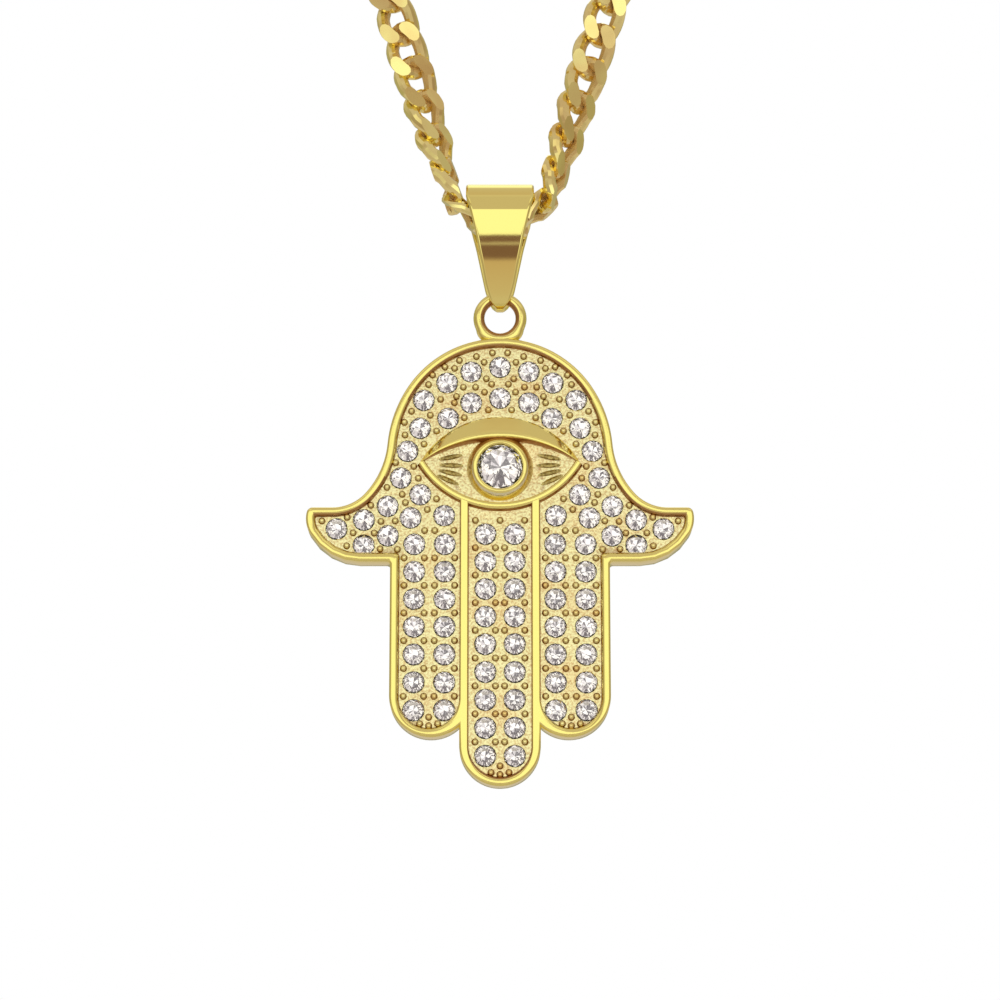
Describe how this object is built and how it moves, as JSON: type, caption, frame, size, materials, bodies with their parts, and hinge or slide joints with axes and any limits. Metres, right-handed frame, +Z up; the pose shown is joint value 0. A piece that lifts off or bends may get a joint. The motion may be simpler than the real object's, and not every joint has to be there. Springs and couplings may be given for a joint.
{
  "type": "hamsa pendant",
  "caption": "Hamsa hand pendant set with round crystals round an eye, hanging from a tapered bail on a curb chain necklace.",
  "frame": {"origin": "at the nape, where the inside of the clasp lies against the neck", "axes": "+Z up, -Y towards the front of the wearer, where the pendant hangs, +X to the wearer's left"},
  "size_m": [0.1216, 0.1249, 0.1965],
  "materials": {
    "cast_gold": "gold-plated casting, polished rim and grainy floor",
    "polished_gold": "polished gold plate",
    "chain_gold": "polished gold plate with cut flats",
    "crystal": "clear faceted crystal with a mirror foil behind it"
  },
  "bodies": {
    "chain": {"chain_left": "chain_gold", "chain_right": "chain_gold", "clasp": "chain_gold"},
    "bail": {"bail": "polished_gold"},
    "pendant": {"hand": "cast_gold", "palm_stones": "crystal", "left_finger_stones": "crystal", "middle_finger_stones": "crystal", "right_finger_stones": "crystal", "eye_stone": "crystal"}
  },
  "joints": [
    {"name": "bail_swing", "type": "hinge", "parent": "chain", "child": "bail", "pos_m": [0, -0.117, -0.1355], "axis": [1, 0, 0], "range_deg": [-75, 30]},
    {"name": "hand_swing", "type": "hinge", "parent": "bail", "child": "pendant", "pos_m": [0, -0.117, -0.1439], "axis": [1, 0, 0], "range_deg": [-50, 50]}
  ]
}
